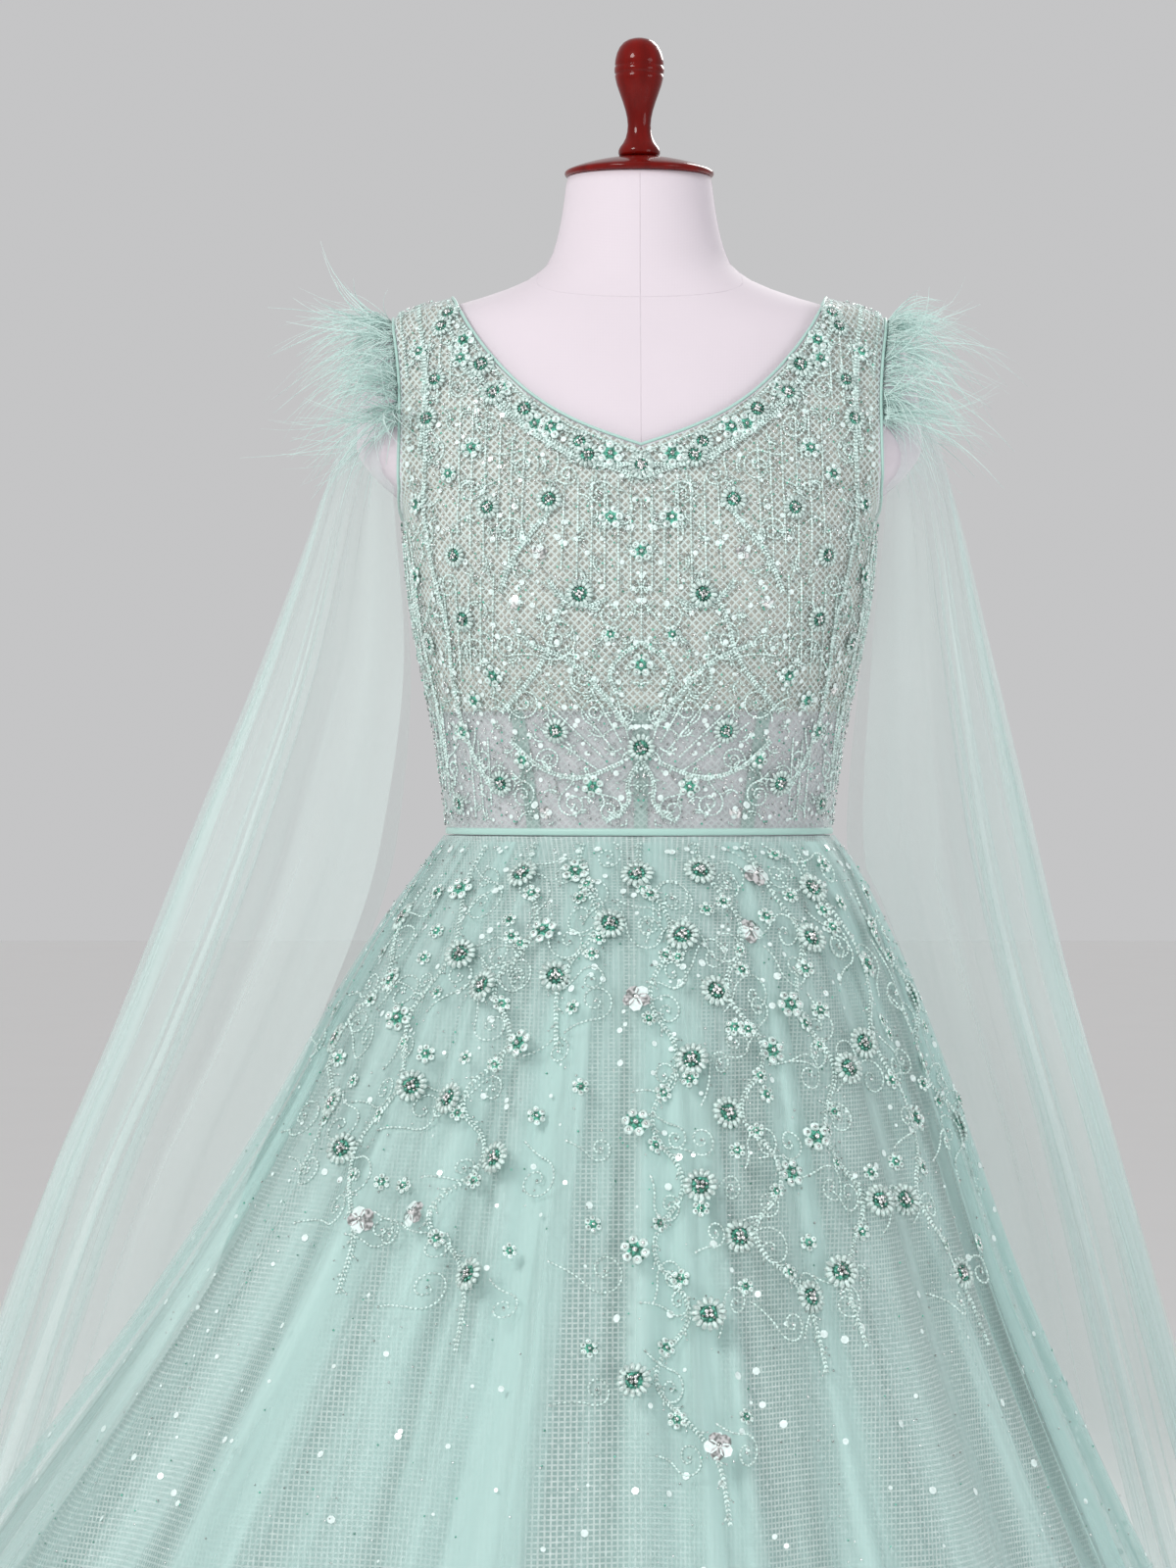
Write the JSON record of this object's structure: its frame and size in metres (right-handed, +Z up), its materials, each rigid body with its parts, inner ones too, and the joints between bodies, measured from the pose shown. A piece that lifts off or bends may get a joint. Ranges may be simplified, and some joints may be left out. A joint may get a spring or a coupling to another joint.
{
  "type": "bridesmaid dress on a limbless dress form",
  "caption": "Floor-length gown with a V-necked beaded bodice, gathered tulle skirt, long shoulder wings and feather trims, on a limbless dress form with a stand.",
  "frame": {"origin": "middle of the underside of the stand's foot, on the floor", "axes": "+Z up, -Y the way the dress faces, +X to the right of someone who looks at the front"},
  "size_m": [1.4729, 1.24, 1.6199],
  "materials": {
    "form_cloth": "smooth cotton cover in a pale lilac white",
    "lacquered_wood": "dark red gloss lacquer",
    "mint_tulle": "soft sheer mint tulle with beads",
    "mint_net": "mint net, small even mesh",
    "beaded_tulle": "sheer mint tulle with beads, bugles and sequins",
    "bust_lining": "matt greyish beige lining",
    "satin_binding": "mint satin, slight sheen",
    "ostrich_feather": "pale mint ostrich feather"
  },
  "bodies": {
    "root": {"form_torso": "form_cloth", "stand_foot": "lacquered_wood", "stand_pole": "lacquered_wood", "neck_cap": "lacquered_wood", "finial": "lacquered_wood", "lining_front": "bust_lining", "lining_back_right": "bust_lining", "lining_back_left": "bust_lining", "casing_left": "satin_binding", "casing_centre": "satin_binding", "casing_right": "satin_binding", "bodice_front": "beaded_tulle", "bodice_back_right": "beaded_tulle", "bodice_back_left": "beaded_tulle", "waistband": "satin_binding", "neck_binding": "satin_binding", "armhole_binding_right": "satin_binding", "armhole_binding_left": "satin_binding", "button_1": "satin_binding", "button_2": "satin_binding", "button_3": "satin_binding", "button_4": "satin_binding", "button_5": "satin_binding", "button_6": "satin_binding", "button_7": "satin_binding", "button_8": "satin_binding", "underskirt_front": "mint_net", "underskirt_back": "mint_net", "skirt_front": "mint_tulle", "skirt_back": "mint_tulle", "wing_left": "mint_tulle", "wing_right": "mint_tulle", "feather_trim_left": "ostrich_feather", "feather_trim_right": "ostrich_feather"}
  },
  "joints": []
}
